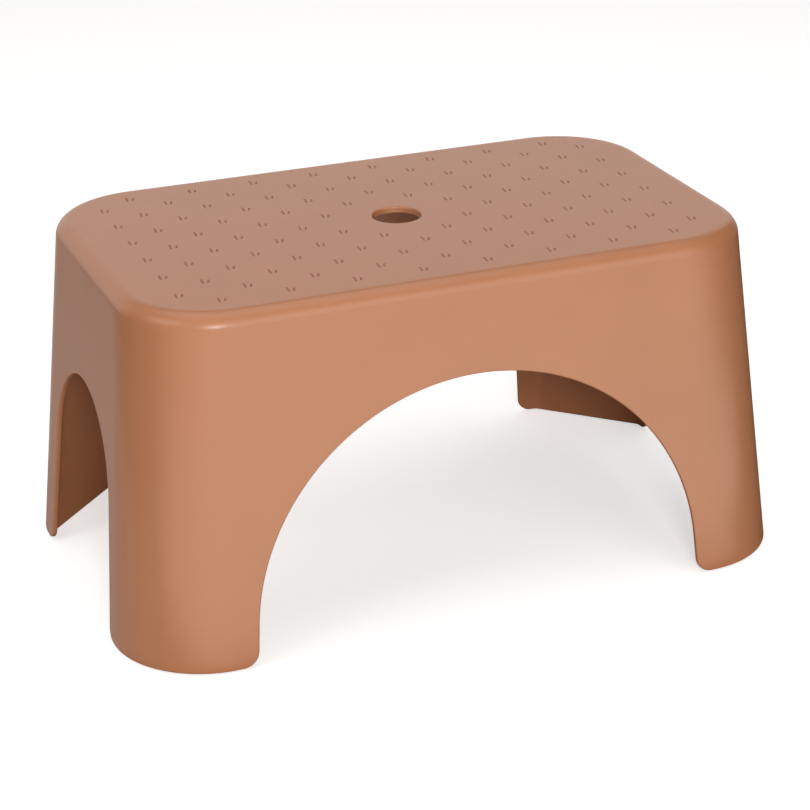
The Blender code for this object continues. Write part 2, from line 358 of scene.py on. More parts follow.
@dataclass(frozen=True)
class SoftRubber:
    """Thermoplastic rubber moulded in a blasted tool: dull, with a fine even grain and a little bloom."""

    name: str = "soft_rubber_brown"
    colour: str = "#6B4F41"
    colour_bloom: str = "#7A5D4E"
    roughness: float = 0.72
    ior: float = 1.52
    # Blasted grain is about 0.1 mm across. It is drawn at 0.35 mm, so it shows from close by.
    grain_mm: float = 0.35
    grain_depth_mm: float = 0.02
    # Patches of pale bloom
    bloom_mm: float = 8.0

    def material(self) -> Material:
        """Builds the material.

        Returns:
            The material.
        """
        material = bpy.data.materials.new(self.name)
        tree = empty_tree(material)
        place = add_node(tree, "TexCoord").outputs["Object"]
        noises = []
        for size, detail in ((self.grain_mm, 3.0), (self.bloom_mm, 4.0)):
            settings = {"Scale": 1 / (size * MM), "Detail": detail}
            noises.append(add_node(tree, "TexNoise", settings, {"Vector": place}).outputs["Fac"])
        grain, bloom = noises
        tone = add_node(
            tree,
            "Mix",
            {"data_type": "RGBA", 6: linear(self.colour), 7: linear(self.colour_bloom)},
            {0: bloom},
        )
        bump = add_node(tree, "Bump", {"Distance": self.grain_depth_mm * MM}, {"Height": grain})
        shader = add_node(
            tree,
            "BsdfPrincipled",
            {"IOR": self.ior, "Roughness": self.roughness},
            {"Base Color": tone.outputs[2], "Normal": bump.outputs["Normal"]},
        )
        add_node(tree, "OutputMaterial", links={"Surface": shader.outputs["BSDF"]})
        return material


@dataclass(frozen=True)
class Arch:
    """Half of an upright arch in a wall: a half ellipse on sides that flare to round feet."""

    foot_half: float
    flare: float
    rise: float
    centre_height: float
    foot_radius: float

    def outline(self, arch_steps: int, foot_steps: int) -> Outline:
        """Walks the rim from the middle of the arch down to the floor.

        Args:
            arch_steps: segments of the elliptical part.
            foot_steps: segments of the round foot.

        Returns:
            Points as (sideways, height above the moulding's foot), each with the direction, in
            the wall, that points from the opening into the plastic.
        """
        half = self.foot_half - self.flare
        reach = math.hypot(self.foot_half, half * self.centre_height / self.rise)
        foot_angle = math.atan2(-self.centre_height / self.rise, self.foot_half / half)
        points = []
        for angle in sweep(arch_steps, QUARTER, foot_angle + math.acos(half / reach)):
            place = Vector((half * math.cos(angle), self.centre_height + self.rise * math.sin(angle)))
            into = Vector((math.cos(angle) / half, math.sin(angle) / self.rise)).normalized()
            points.append((place, into))
        side = points[-1][1]
        centre = Vector((self.foot_half + self.foot_radius * (1 - side.y) / side.x, self.foot_radius))
        for angle in sweep(foot_steps, math.atan2(side.y, side.x)):
            points.append((centre - heading(angle) * self.foot_radius, heading(angle)))
        return points


@dataclass(frozen=True)
class StoolForm:
    """Sizes of the moulding, the same as the CAD model's, and the surfaces that follow from them."""

    seat_length: float = 365.0 * MM
    seat_width: float = 221.5 * MM
    foot_length: float = 399.8 * MM
    foot_width: float = 257.7 * MM
    height: float = 197.9 * MM
    foot_height: float = 0.8 * MM
    seat_corner: float = 53.7 * MM
    foot_corner: float = 55.0 * MM
    top_edge: float = 8.5 * MM
    wall: float = 3.0 * MM
    seat_thickness: float = 3.7 * MM
    web_thickness: float = 2.8 * MM
    web_fillet: float = 5.5 * MM
    leg_depth: float = 17.7 * MM
    # Radius of the round tips of a leg's pocket
    pocket_tip: float = 1.2 * MM

    @property
    def top(self) -> float:
        """Height of the seat's plane."""
        return self.foot_height + self.height

    @property
    def under_seat(self) -> float:
        """Height of the seat's under side."""
        return self.top - self.seat_thickness

    @property
    def draft_angle(self) -> float:
        """Mean slope of the walls from upright."""
        grown = (self.foot_length - self.seat_length + self.foot_width - self.seat_width) / 4
        return math.atan(grown / self.height)

    @property
    def web_reach(self) -> float:
        """|x| + |y| on the webs' inner faces."""
        centre = (self.foot_length + self.foot_width) / 2 - 2 * self.foot_corner
        return centre + (self.foot_corner - self.leg_depth) * math.sqrt(2)

    def section(self, z: float, inset: float = 0.0) -> tuple[float, float, float]:
        """Slices the walls at a height.

        Args:
            z: the height.
            inset: how far the slice is pulled in from the outer walls.

        Returns:
            Its half length, half width and corner radius.
        """
        share = (self.top - z) / self.height
        half_length = (self.seat_length + (self.foot_length - self.seat_length) * share) / 2
        half_width = (self.seat_width + (self.foot_width - self.seat_width) * share) / 2
        corner = self.seat_corner + (self.foot_corner - self.seat_corner) * share
        return half_length - inset, half_width - inset, corner - inset

    @cache
    def inner_corner(self, z: float, samples: int) -> Outline:
        """The hollow's outline round one corner at a height: the wall, the web and the fillets between.

        The hollow is rounded as a disc of the fillet's radius would round it: each point is a
        point of a smaller outline, moved out by that radius.

        Args:
            z: the height.
            samples: number of segments from the end wall to the long wall.

        Returns:
            Points in the plan, from the end wall to the long wall, each with its normal that
            points into the plastic.
        """
        turn_steps, web_steps = 90, 8
        length, width, corner = self.section(z, self.wall)
        fillet = self.web_fillet
        centre = Vector((length - corner, width - corner))
        small = corner - fillet
        reach = self.web_reach - fillet * math.sqrt(2)
        gap = (reach - centre.x - centre.y) / math.sqrt(2)
        limit = math.acos(min(1.0, gap / small))
        middle = QUARTER / 2
        if limit > middle:
            ends = [Vector((length - fillet, reach - length + fillet))]
            ends.append(Vector((reach - width + fillet, width - fillet)))
        else:
            ends = [centre + small * heading(middle + sign * limit) for sign in (-1, 1)]
        points = []
        for step, angle in enumerate(sweep(turn_steps)):
            normal = heading(angle)
            if step == turn_steps // 2 and limit > 0:
                # The straight run of the web, where the normal doesn't turn
                spots = [ends[0].lerp(ends[1], share / web_steps) for share in range(web_steps + 1)]
            elif abs(angle - middle) >= limit:
                spots = [centre + small * normal]
            else:
                spots = [ends[0] if angle < middle else ends[1]]
            points += [(spot + normal * fillet, normal) for spot in spots]
        return self._even(points, samples)

    @staticmethod
    def _even(points: Outline, samples: int) -> Outline:
        """Spaces points along a line by their distance and by how much it turns.

        Args:
            points: the line, with its normals.
            samples: number of segments that it is to have.

        Returns:
            The new points and normals.
        """
        # The distance that counts as much as a turn of one radian
        turn_length = 20 * MM
        run = [0.0]
        for (a, m), (b, n) in zip(points, points[1:]):
            run.append(run[-1] + (b - a).length + turn_length * m.angle(n, 0.0))
        out = []
        k = 0
        for sample in range(samples + 1):
            goal = run[-1] * sample / samples
            while k < len(run) - 2 and run[k + 1] < goal:
                k += 1
            span = run[k + 1] - run[k]
            share = min(1.0, max(0.0, (goal - run[k]) / span)) if span > 0 else 0.0
            spot = points[k][0].lerp(points[k + 1][0], share)
            normal = points[k][1].lerp(points[k + 1][1], share).normalized()
            out.append((spot, normal))
        return out

    def foot_outline(self, z: float, clearance: float, samples: int) -> list[Vector]:
        """Outline of a leg's pocket, or of the pad in it: a slice of the round corner.

        Args:
            z: the height.
            clearance: distance inside the pocket's own outline.
            samples: number of segments along the arc.

        Returns:
            Points in the quarter with positive X and Y, anticlockwise.
        """
        tip_steps = 6
        length, width, corner = self.section(z, self.wall + clearance)
        centre = Vector((length - corner, width - corner))
        back = self.web_reach / math.sqrt(2) + self.web_thickness + clearance
        gap = back - (centre.x + centre.y) / math.sqrt(2)
        tip = self.pocket_tip
        # A small circle at each tip touches the arc from inside and the web's back
        lean = math.acos((gap + tip) / (corner - tip))
        low, high = QUARTER / 2 - lean, QUARTER / 2 + lean
        inward = QUARTER / 2 + math.pi
        hearts = [centre + (corner - tip) * heading(side) for side in (low, high)]
        # Round the first tip, along the arc and round the second tip
        points = [hearts[0] + tip * heading(a) for a in sweep(tip_steps, inward, low + math.tau)]
        points += [centre + corner * heading(a) for a in sweep(samples, low, high)[1:-1]]
        points += [hearts[1] + tip * heading(a) for a in sweep(tip_steps, high, inward)]
        return [Vector((*p, z)) for p in points]


@dataclass(frozen=True)
class Column:
    """One vertical line of the skin, in the quarter with positive X and Y."""

    zone: Zone
    # On a wall: the rim's sideways place and height, and the way into the plastic
    rim: Vector | None = None
    into: Vector | None = None
    # On a wall: how far along its flat part, and in a corner: how far round it
    share: float = 0.0


@dataclass
class MouldedShell:
    """The one moulding: seat, walls, webs, rims, hand hole and anti-slip grooves, with its ribs."""

    form: StoolForm
    finish: MouldedPolypropylene
    # The grooves' material: a rougher finish whose darker, less orange colour is painted shade
    groove_finish_with_painted_shade: MouldedPolypropylene
    long_arch: Arch
    end_arch: Arch
    outer_rim: float = 1.1 * MM
    inner_rim: float = 0.8 * MM
    # The flat strip beside each round of a rim
    rim_flat: float = 0.25 * MM
    hole_radius: float = 14.1 * MM
    hole_lip: float = 0.9 * MM
    hole_under_edge: float = 0.5 * MM
    # With the flat margin of 0.14 mm on each side
    groove_width: float = 1.76 * MM
    groove_lengths: tuple[float, float] = (7.6 * MM, 5.4 * MM)
    groove_slants: tuple[float, float] = (-6.0, -20.0)
    groove_spacing: float = 3.2 * MM
    groove_stagger: float = 1.0 * MM
    # Inset and drop in mm: the flat margin, a soft shoulder, a wall and a narrow floor
    groove_steps: tuple[tuple[float, float], ...] = (
        (0.14, 0.0),
        (0.13, 0.05),
        (0.14, 0.15),
        (0.13, 0.20),
        (0.12, 0.16),
        (0.10, 0.06),
    )
    mark_pitch_long: float = 18.93 * MM
    mark_pitch_wide: float = 14.77 * MM
    mark_border: float = 12.0 * MM
    mark_hole_margin: float = 10.0 * MM
    rib_thickness: float = 1.8 * MM
    rib_depth: float = 7.0 * MM
    rib_edge: float = 0.5 * MM
    # How far the ribs run into the seat and the walls
    rib_root: float = 0.5 * MM
    cross_ribs: tuple[float, ...] = (-84.0 * MM, -28.0 * MM, 28.0 * MM, 84.0 * MM)
    long_ribs: tuple[float, ...] = (-38.0 * MM, 38.0 * MM)
    pocket_height: float = 66.0 * MM
    pocket_edge: float = 0.4 * MM
    # Segments of the long arch, the end arch, their feet and a corner of the stool
    long_arch_steps: int = 44
    end_arch_steps: int = 30
    foot_steps: int = 8
    corner_steps: int = 40
    # Segments across the rounds, rows of the inner walls, and segments of a pocket's arc
    seat_edge_steps: int = 14
    hollow_edge_steps: int = 8
    lip_steps: int = 8
    rim_steps: int = 5
    small_edge_steps: int = 3
    wall_rows: int = 22
    pocket_samples: int = 24
    # Narrow strips that keep the shading of rounds from spreading over flat faces
    support: float = 1.0 * MM
    corner_strip: float = 2.0 * MM
    seat_strip: float = 3.0 * MM
    pocket_strip: float = 0.5 * MM
    mouth_strip: float = 0.2 * MM
    # Share of a wall's half, at the seat, in which the columns stand upright
    upright_share: float = 0.7
    crease: float = 40.0
    # What building fills: the mesh, its columns, the rings' points and vertices, and named rings' numbers
    bm: BMesh = field(default_factory=bmesh.new, init=False)
    columns: list[Column] = field(default_factory=list, init=False)
    rings: list[list[Vector]] = field(default_factory=list, init=False)
    loops: list[Loop] = field(default_factory=list, init=False)
    marks: dict[str, int] = field(default_factory=dict, init=False)

    def build(self) -> Object:
        """Models the moulding as one mesh and dresses it.

        Returns:
            The moulding.
        """
        self.columns = self._columns()
        self._hole_rings()
        self._under_seat_rings()
        self._inner_wall_rings()
        self._rim_rings()
        self._outer_wall_rings()
        self.loops = loft(self.bm, self.rings)
        self._join_flats()
        self._leg_feet()
        self._seat_plane()
        bmesh.ops.remove_doubles(self.bm, verts=self.bm.verts, dist=MERGE)
        bmesh.ops.dissolve_degenerate(self.bm, edges=self.bm.edges, dist=MERGE)
        bmesh.ops.recalc_face_normals(self.bm, faces=self.bm.faces)
        self._ribs()
        finishes = [self.finish.material(), self.groove_finish_with_painted_shade.material()]
        return as_object(self.bm, "bath_stool_moulding", finishes, self.crease)

    # Columns and rings

    def _columns(self) -> list[Column]:
        """Places the columns of one quarter.

        Returns:
            The columns, from the middle of the end wall to the middle of the long wall.
        """
        steps = self.corner_steps
        columns = self._wall_columns(Zone.END_WALL, self.end_arch, self.end_arch_steps)
        columns += [Column(Zone.CORNER, share=step / steps) for step in range(steps + 1)]
        columns += reversed(self._wall_columns(Zone.LONG_WALL, self.long_arch, self.long_arch_steps))
        LOG.info("a quarter of a ring has %d columns", len(columns))
        return columns

    def _wall_columns(self, zone: Zone, arch: Arch, steps: int) -> list[Column]:
        """Places the columns of half a wall.

        Args:
            zone: the wall.
            arch: its arch.
            steps: segments of the arch.

        Returns:
            The columns, from the wall's middle to just before the corner.
        """
        rim = arch.outline(steps, self.foot_steps)
        columns = [Column(zone, place, into, self._flat_share(zone, place.x)) for place, into in rim]
        return columns + [Column(zone, share=1.0)]

    def _flat_half(self, zone: Zone, z: float) -> float:
        """Half of a wall's flat part at a height."""
        length, width, corner = self.form.section(z)
        return (length if zone is Zone.LONG_WALL else width) - corner

    def _flat_share(self, zone: Zone, sideways: float) -> float:
        """Works out where a rim point's column meets the seat.

        Columns near the middle stand upright. The rest draw together, because the flat part
        is shorter at the seat than at the floor.

        Args:
            zone: the wall.
            sideways: the rim point's distance from the wall's middle.

        Returns:
            The column's place at the seat, as a share of the flat part there.
        """
        top = self._flat_half(zone, self.form.top) - self.seat_strip
        low = self._flat_half(zone, self.form.foot_height)
        start = self.upright_share * top
        if sideways <= start:
            return sideways / top
        return (start + (top - start) * (sideways - start) / (low - start)) / top

    def _quarter_point(self, side: Side, column: Column, rise: float, depth: float) -> Vector:
        """Places a point near the rim.

        Args:
            side: the skin that the point belongs to.
            column: its column.
            rise: distance from the rim, along the wall.
            depth: how far into the plastic.

        Returns:
            The point.
        """
        foot = self.form.foot_height
        if column.zone is Zone.CORNER and side is Side.OUTER:
            return self._level_point(column, foot + rise, depth)
        if column.zone is Zone.CORNER:
            outline = self.form.inner_corner(foot + rise, self.corner_steps)
            spot, normal = outline[round(column.share * self.corner_steps)]
            return Vector((*(spot + normal * depth), foot + rise))
        inset = depth if side is Side.OUTER else self.form.wall - depth
        if column.rim is None:
            place = self._strip_place(side, column.zone, foot + rise)
            return self._wall_point(column.zone, place, foot + rise, inset)
        spot = column.rim + column.into * rise
        return self._wall_point(column.zone, spot.x, foot + spot.y, inset)

    def _wall_point(self, zone: Zone, sideways: float, z: float, inset: float) -> Vector:
        """A point of a flat wall, pulled in from its outer face."""
        length, width, _ = self.form.section(z, inset)
        return Vector((sideways, width, z) if zone is Zone.LONG_WALL else (length, sideways, z))

    def _strip_place(self, side: Side, zone: Zone, z: float) -> float:
        """Finds the column between a foot's round and the corner.

        Args:
            side: the skin.
            zone: the wall.
            z: the height.

        Returns:
            Its distance from the wall's middle.
        """
        arch = self.long_arch if zone is Zone.LONG_WALL else self.end_arch
        foot = arch.outline(1, 1)[-1][0].x
        if side is Side.OUTER:
            corner = self._flat_half(zone, z)
        else:
            outline = self.form.inner_corner(z, self.corner_steps)
            corner = outline[-1][0].x if zone is Zone.LONG_WALL else outline[0][0].y
        place = corner - self.corner_strip
        return max(place, (corner + foot) / 2) if corner > foot else place

    def _level_point(self, column: Column, z: float, inset: float) -> Vector:
        """Places a point at a height, pulled in from the outer wall.

        Args:
            column: its column.
            z: the height.
            inset: how far it is pulled in.

        Returns:
            The point.
        """
        if column.zone is Zone.CORNER:
            length, width, corner = self.form.section(z, inset)
            spot = Vector((length - corner, width - corner)) + corner * heading(QUARTER * column.share)
            return Vector((*spot, z))
        flat = self._flat_half(column.zone, z)
        along = flat - self.corner_strip if column.rim is None else (flat - self.seat_strip) * column.share
        return self._wall_point(column.zone, along, z, inset)

    def _ring(self, quarter: list[Vector], tag: str = "") -> None:
        """Adds a ring, mirrored from one quarter to the others.

        Args:
            quarter: points from the middle of the end wall to the middle of the long wall.
            tag: a name under which the ring's number is kept.
        """
        points = []
        for lap, leg in enumerate(Leg):
            points += leg.mirrored(quarter[:-1] if lap % 2 == 0 else quarter[:0:-1])
        if tag:
            self.marks[tag] = len(self.rings)
        self.rings.append(points)

    def _level_ring(self, z: float, inset: float, tag: str = "") -> None:
        """Adds a level ring, pulled in from the outer wall."""
        self._ring([self._level_point(column, z, inset) for column in self.columns], tag)

    def _circle(self, radius: float, z: float, tag: str = "") -> None:
        """Adds a round ring about the hand hole's axis."""
        self._ring([Vector((*(radius * heading(a)), z)) for a in sweep(len(self.columns) - 1)], tag)

    def _hole_rings(self) -> None:
        """Rings of the hand hole, from the seat's plane down its round lip and through the seat."""
        top, under = self.form.top, self.form.under_seat
        self._circle(self.hole_radius + self.hole_lip + self.support, top, "hole")
        for out, down in round_edge(self.hole_lip, self.lip_steps):
            self._circle(self.hole_radius + out, top - down)
        for up, out in round_edge(self.hole_under_edge, self.small_edge_steps):
            self._circle(self.hole_radius + out, under + up)
        self._circle(self.hole_radius + self.hole_under_edge + self.support, under)

    def _edge_rings(self, top: float, edge: float, inset: float, angles: list[float]) -> None:
        """Adds the rings of a round between a sloping wall and the level face over it.

        Args:
            top: height of the level face.
            edge: radius of the round.
            inset: how far the wall lies inside the outer wall.
            angles: the directions from the round's axis, from level up.
        """
        axis = inset + edge * math.cos(self.form.draft_angle)
        for angle in angles:
            self._level_ring(top - edge * (1 - math.sin(angle)), axis - edge * math.cos(angle))

    @property
    def _hollow_edge(self) -> float:
        """Radius of the hollow's rounded top edge."""
        return self.form.top_edge - self.form.wall

    @property
    def _inner_top(self) -> float:
        """Height of the ring below the hollow's rounded top edge."""
        return self.form.under_seat - self._hollow_edge * (1 - math.sin(self.form.draft_angle)) - self.support

    def _under_seat_rings(self) -> None:
        """Rings of the hollow's rounded top edge."""
        form, edge = self.form, self._hollow_edge
        self._level_ring(form.under_seat, form.wall + edge * math.cos(form.draft_angle) + self.support)
        angles = sweep(self.hollow_edge_steps, QUARTER, form.draft_angle)
        self._edge_rings(form.under_seat, edge, form.wall, angles)
        self._level_ring(self._inner_top, form.wall, "inner_top")

    def _inner_wall_rings(self) -> None:
        """Rings down the inner walls, close enough to follow the webs as they fade out upward."""
        low = self.inner_rim + self.support
        foot = self.form.foot_height
        for row in range(1, self.wall_rows):
            share = row / self.wall_rows
            z = self._inner_top + (foot + low - self._inner_top) * share
            quarter = []
            for column in self.columns:
                if column.rim is None:
                    quarter.append(self._quarter_point(Side.INNER, column, z - foot, 0.0))
                    continue
                above = self._level_point(column, self._inner_top, self.form.wall)
                below = self._quarter_point(Side.INNER, column, low, 0.0)
                quarter.append(above.lerp(below, share))
            self._ring(quarter)

    def _rim_rings(self) -> None:
        """Rings round the rims of the arches and legs, from the inner skin to the outer."""
        stations = [(Side.INNER, self.inner_rim + self.support, 0.0, "inner_low")]
        stations += [(Side.INNER, *pair, "") for pair in round_edge(self.inner_rim, self.rim_steps)]
        stations.append((Side.INNER, 0.0, self.inner_rim + self.rim_flat, "foot_inner"))
        stations.append((Side.OUTER, 0.0, self.outer_rim + self.rim_flat, "foot_outer"))
        stations += [(Side.OUTER, *pair, "") for pair in reversed(round_edge(self.outer_rim, self.rim_steps))]
        stations.append((Side.OUTER, self.outer_rim + self.support, 0.0, "outer_low"))
        for side, rise, depth, tag in stations:
            self._ring([self._quarter_point(side, column, rise, depth) for column in self.columns], tag)

    def _outer_wall_rings(self) -> None:
        """Rings of the outer wall's top and of the seat's round edge."""
        form = self.form
        edge, lean = form.top_edge, form.draft_angle
        self._level_ring(form.top - edge * (1 - math.sin(lean)) - self.support, 0.0, "outer_top")
        self._edge_rings(form.top, edge, 0.0, sweep(self.seat_edge_steps, lean))
        self._level_ring(form.top, edge * math.cos(lean) + self.support, "seat")

    # Faces that replace the plain strips between rings

    def _faces(self, first: str, last: str, zone: Zone) -> list[BMFace]:
        """Finds the faces between two rings in one kind of zone.

        The strip of a wall beside each corner, whose outer column has no rim, is left out.

        Args:
            first: name of the first ring.
            last: name of the last ring.
            zone: where both of a face's columns lie.

        Returns:
            The faces.
        """
        count = len(self.columns) - 1
        found = []
        for j in range(4 * count):
            lap, step = divmod(j, count)
            here, there = (step, step + 1) if lap % 2 == 0 else (count - step, count - step - 1)
            pair = (self.columns[here], self.columns[there])
            if any(c.zone is not zone or (c.rim is None and zone is not Zone.CORNER) for c in pair):
                continue
            n = (j + 1) % (4 * count)
            for k in range(self.marks[first], self.marks[last]):
                a, b = self.loops[k], self.loops[k + 1]
                face = self.bm.faces.get((a[j], a[n], b[n], b[j]))
                if face:
                    found.append(face)
        return found

    def _join_flats(self) -> None:
        """Makes one face of each flat part of a wall, inside its border strips."""
        for first, last in (("inner_top", "inner_low"), ("outer_low", "outer_top")):
            for zone in (Zone.END_WALL, Zone.LONG_WALL):
                bmesh.ops.dissolve_faces(self.bm, faces=self._faces(first, last, zone), use_verts=True)

    def _leg_feet(self) -> None:
        """Opens each leg's foot and sinks the pocket that takes its pad."""
        faces = self._faces("foot_inner", "foot_outer", Zone.CORNER)
        border = list(dict.fromkeys(edge for face in faces for edge in face.edges))
        bmesh.ops.delete(self.bm, geom=faces, context="FACES_ONLY")
        border = [e for e in border if e.is_valid and len(e.link_faces) == 1]
        for leg in Leg:
            sx, sy = leg.value
            edges = [e for e in border if e.verts[0].co.x * sx > 0 and e.verts[0].co.y * sy > 0]
            edges += self._pocket(leg)
            bmesh.ops.triangle_fill(self.bm, edges=edges, use_beauty=True, normal=(0, 0, -1))
        loose = [e for e in self.bm.edges if not e.link_faces]
        bmesh.ops.delete(self.bm, geom=loose, context="EDGES")

    def _pocket(self, leg: Leg) -> list[BMEdge]:
        """Makes one leg's pocket.

        Args:
            leg: the leg.

        Returns:
            The edges of the pocket's mouth.
        """
        foot, edge, strip = self.form.foot_height, self.pocket_edge, self.pocket_strip
        levels = [(foot, -edge - self.mouth_strip)]
        levels += [(foot + rise, -inset) for inset, rise in round_edge(edge, self.small_edge_steps)]
        levels += [(foot + edge + strip, 0.0), (self.pocket_height - strip, 0.0), (self.pocket_height, 0.0)]
        outlines = [self.form.foot_outline(z, clearance, self.pocket_samples) for z, clearance in levels]
        loops = loft(self.bm, [leg.mirrored(points) for points in outlines])
        self.bm.faces.new(loops[-1])
        return loop_edges(self.bm, loops[0])

    # The seat's plane and its grooves

    def _on_marked_field(self, x: float, y: float) -> bool:
        """Tells whether a mark fits inside the seat's flat by the border, and clear of the hand hole.

        Args:
            x: the mark's place along the stool.
            y: its place across the stool.

        Returns:
            Whether it fits.
        """
        lean = self.form.draft_angle
        edge = self.form.top_edge * (math.cos(lean) + math.tan(lean))
        length, width, corner = self.form.section(self.form.top, edge + self.mark_border)
        past = math.hypot(max(0.0, abs(x) - length + corner), max(0.0, abs(y) - width + corner))
        keep_out = self.hole_radius + self.hole_lip + self.mark_hole_margin
        return past <= corner and math.hypot(x, y) > keep_out

    def _seat_plane(self) -> None:
        """Fills the seat's plane round the hand hole and the anti-slip grooves, and sinks the grooves."""
        faces = []
        columns = math.ceil(self.form.seat_length / self.mark_pitch_long)
        rows = math.ceil(self.form.seat_width / self.mark_pitch_wide)
        for column in range(-columns, columns + 1):
            for row in range(-rows, rows + 1):
                x, y = column * self.mark_pitch_long, row * self.mark_pitch_wide
                if (column + row) % 2 == 0 or not self._on_marked_field(x, y):
                    continue
                for side, length, slant in zip((-1, 1), self.groove_lengths, self.groove_slants):
                    dx, dy = side * self.groove_spacing / 2, -side * self.groove_stagger / 2
                    place = Matrix.Translation((x + dx, y + dy, self.form.top))
                    place @= Matrix.Rotation(math.radians(slant), 4, "Z")
                    faces.append(slot_face(self.bm, self.groove_width, length, place))
        borders = [e for f in faces for e in f.edges]
        for name in ("hole", "seat"):
            borders += loop_edges(self.bm, self.loops[self.marks[name]])
        bmesh.ops.triangle_fill(self.bm, edges=borders, use_beauty=True, normal=(0, 0, 1))
        # The second material, the grooves' finish with its painted shade, starts inside the flat margin
        sink(self.bm, faces, [(inset * MM, -drop * MM) for inset, drop in self.groove_steps], 1)

    def _ribs(self) -> None:
        """Adds the ribs, which run into the seat and the walls."""
        high = self.form.under_seat + self.rib_root
        low = self.form.under_seat - self.rib_depth
        length, width, _ = self.form.section(high, self.form.wall - self.rib_root)
        for x in self.cross_ribs:
            self._rib(Vector((x, 0, (high + low) / 2)), (self.rib_thickness, 2 * width, high - low))
        for y in self.long_ribs:
            self._rib(Vector((0, y, (high + low) / 2)), (2 * length, self.rib_thickness, high - low))

    def _rib(self, centre: Vector, size: tuple[float, float, float]) -> None:
        """Adds one rib with its lower edges rounded.

        Args:
            centre: its middle.
            size: its whole size along X, Y and Z.
        """
        place = Matrix.Translation(centre) @ Matrix.Diagonal((*size, 1))
        verts = bmesh.ops.create_cube(self.bm, size=1, matrix=place)["verts"]
        low = [v for v in verts if v.co.z < centre.z]
        edges = list(dict.fromkeys(e for v in low for e in v.link_edges if e.other_vert(v) in low))
        bmesh.ops.bevel(
            self.bm, geom=edges, offset=self.rib_edge, segments=3, profile=0.5, affect="EDGES", material=-1
        )


@dataclass
class FootPad:
    """A plug of soft rubber in the mouth of one leg, with round edges and a tread of slots."""

    form: StoolForm
    leg: Leg
    finish: Material
    height: float = 12.0 * MM
    clearance: float = 0.3 * MM
    low_edge: float = 0.9 * MM
    low_edge_steps: int = 4
    high_edge: float = 0.6 * MM
    high_edge_steps: int = 3
    samples: int = 24
    crease: float = 35.0
    # The tread: slots across the pad, inside a plain border
    border: float = 1.2 * MM
    slot_pitch: float = 4.6 * MM
    slot_width: float = 2.9 * MM
    shortest_slot: float = 3.0 * MM
    slot_depth: float = 0.8 * MM
    # Inset in mm and share of the depth: a soft shoulder, a wall and a soft foot
    slot_steps: tuple[tuple[float, float], ...] = ((0.15, 0.25), (0.10, 0.65), (0.15, 0.10))

    def build(self) -> Object:
        """Models the pad and dresses it.

        Returns:
            The pad.
        """
        bm = bmesh.new()
        outlines = [self.form.foot_outline(z, clearance, self.samples) for z, clearance in self._levels()]
        loops = loft(bm, [self.leg.mirrored(points) for points in outlines])
        bm.faces.new(loops[-1])
        self._tread(bm, loops[0])
        bmesh.ops.remove_doubles(bm, verts=bm.verts, dist=MERGE)
        bmesh.ops.recalc_face_normals(bm, faces=bm.faces)
        return as_object(bm, "rubber_" + self.leg.pad_node, [self.finish], self.crease)

    def _levels(self) -> list[tuple[float, float]]:
        """Works out the pad's outlines.

        Returns:
            Height and clearance of each, from the sole up.
        """
        low = round_edge(self.low_edge, self.low_edge_steps)
        high = round_edge(self.high_edge, self.high_edge_steps)
        levels = [(rise, self.clearance + inset) for inset, rise in low]
        return levels + [(self.height - drop, self.clearance + inset) for drop, inset in high]

    def _tread(self, bm: BMesh, sole: Loop) -> None:
        """Fills the sole round a row of slots, and sinks the slots.

        Args:
            bm: the pad's mesh.
            sole: the vertices of its lowest outline.
        """
        sx, sy = self.leg.value
        turn = Matrix.Rotation(math.atan2(-sy, sx), 4, "Z")
        outline = [turn.inverted() @ v.co for v in sole]
        ends = (min(p.x for p in outline), max(p.x for p in outline))
        most = math.ceil((ends[1] - ends[0]) / 2 / self.slot_pitch)
        slots = []
        for step in range(-most, most + 1):
            x = sum(ends) / 2 + step * self.slot_pitch
            sides = [self._chord(outline, x + way * self.slot_width / 2) for way in (-1, 0, 1)]
            low = max(s[0] for s in sides) + self.border
            high = min(s[1] for s in sides) - self.border
            if high - low > self.shortest_slot:
                place = turn @ Matrix.Translation((x, (low + high) / 2, 0.0))
                slots.append(slot_face(bm, self.slot_width, high - low, place))
        borders = [e for f in slots for e in f.edges] + loop_edges(bm, sole)
        bmesh.ops.triangle_fill(bm, edges=borders, use_beauty=True, normal=(0, 0, 1))
        sink(bm, slots, [(inset * MM, share * self.slot_depth) for inset, share in self.slot_steps])

    @staticmethod
    def _chord(outline: list[Vector], x: float) -> tuple[float, float]:
        """Finds where a line across a convex outline enters and leaves it.

        Args:
            outline: the outline.
            x: the line's place.

        Returns:
            The two places on the line, or twice 0 where the line misses the outline.
        """
        cuts = [
            a.y + (b.y - a.y) * (x - a.x) / (b.x - a.x)
            for a, b in zip(outline, outline[1:] + outline[:1])
            if (a.x > x) != (b.x > x)
        ]
        return (min(cuts), max(cuts)) if cuts else (0.0, 0.0)


@dataclass(frozen=True)
class Lamp:
    """A square softbox that faces the stool, with its side in metres and its power in watts."""

    name: str
    place: tuple[float, float, float]
    size: float
    power: float


@dataclass(frozen=True)
class Card:
    """A card that only gloss sees: black to take the white room out of it, or to paint the stool's shadow
    into the floor's reflection, or a bright reflector.
    """

    name: str
    place: tuple[float, float, float]
    size: tuple[float, float]
    facing: tuple[float, float, float]
    glow: float = 0.0


